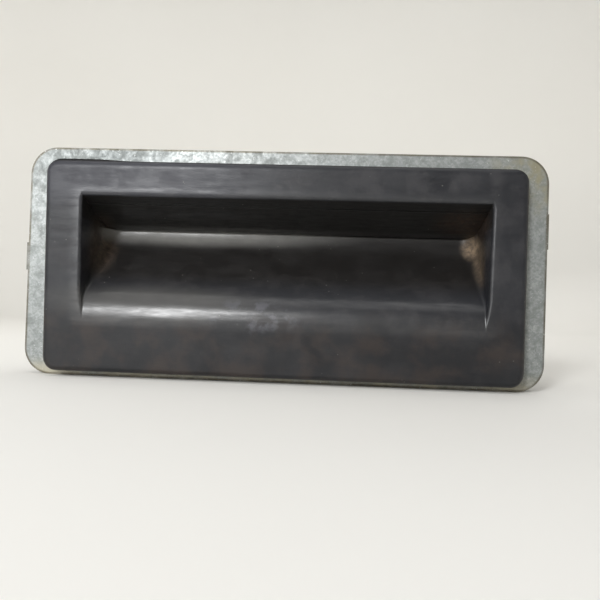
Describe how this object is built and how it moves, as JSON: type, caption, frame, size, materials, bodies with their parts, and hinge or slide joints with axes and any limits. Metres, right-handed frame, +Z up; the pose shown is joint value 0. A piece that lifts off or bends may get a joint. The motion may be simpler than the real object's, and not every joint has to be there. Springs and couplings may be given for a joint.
{
  "type": "recessed release handle",
  "caption": "Rubber-skinned finger cup on a galvanised carrier plate, with a hinged press flap working a sealed switch behind it.",
  "frame": {"origin": "centre of the four-stud pattern on the carrier plate's rear (mounting) face", "axes": "+X along the handle's width, +Y into the door along the studs, +Z up as fitted; the finger cup faces -Y"},
  "size_m": [0.1266, 0.0379, 0.056],
  "materials": {
    "galvanised": "galvanised, dull spangle",
    "zinc": "zinc plated",
    "foam": "closed-cell foam",
    "seal_rubber": "matt",
    "skin_rubber": "satin, slightly worn",
    "shell_plastic": "glass-filled, matt",
    "flap_plastic": "matt",
    "steel_pin": "ground",
    "spring_steel": "drawn wire",
    "switch_black": "fine matt",
    "switch_red": "satin",
    "lever_steel": "stamped strip",
    "contact_brass": "tinned brass",
    "lead_red": "wire insulation",
    "connector_black": "satin",
    "seal_silicone": "silicone",
    "cover_plastic": "fine grain"
  },
  "bodies": {
    "root": {"carrier_plate": "galvanised", "weld_studs": "zinc", "plate_gasket": "foam", "bezel_seal": "seal_rubber", "rubber_skin": "skin_rubber", "cup_shell": "shell_plastic", "shell_rivets": "zinc", "flap_pivot_pin": "steel_pin", "flap_springs": "spring_steel", "switch_case": "switch_black", "switch_base": "switch_red", "lever_pin": "steel_pin", "switch_terminals": "contact_brass", "switch_screws": "zinc", "switch_leads": "lead_red", "connector_socket": "connector_black", "connector_pins": "contact_brass", "connector_seal": "seal_silicone", "connector_screws": "zinc", "rear_cover": "cover_plastic", "cover_gasket": "seal_rubber", "cover_screws": "zinc"},
    "flap": {"release_flap": "flap_plastic", "flap_pad": "skin_rubber", "flap_bumpers": "seal_rubber"},
    "lever": {"switch_lever": "lever_steel"},
    "plunger": {"switch_plunger": "switch_red"}
  },
  "joints": [
    {"name": "flap_hinge", "type": "hinge", "parent": "root", "child": "flap", "pos_m": [0, 0.001, 0.0174], "axis": [1, 0, 0], "range_deg": [0, 6], "stiffness_Nm_per_rad": 0.4, "springref_deg": -5.73, "deforming": ["flap_springs"]},
    {"name": "lever_hinge", "type": "hinge", "parent": "root", "child": "lever", "pos_m": [-0.0192, 0.0104, 0.0154], "axis": [0, -1, 0], "range_deg": [0, 5]},
    {"name": "plunger_slide", "type": "slide", "parent": "root", "child": "plunger", "axis": [0, 0, 1], "range_m": [0, 0.00028]}
  ],
  "couplings": [
    {"joint": "lever_hinge", "follows": "flap_hinge", "ratio": 0.82},
    {"joint": "plunger_slide", "follows": "flap_hinge", "m_per_rad": 0.002578}
  ]
}
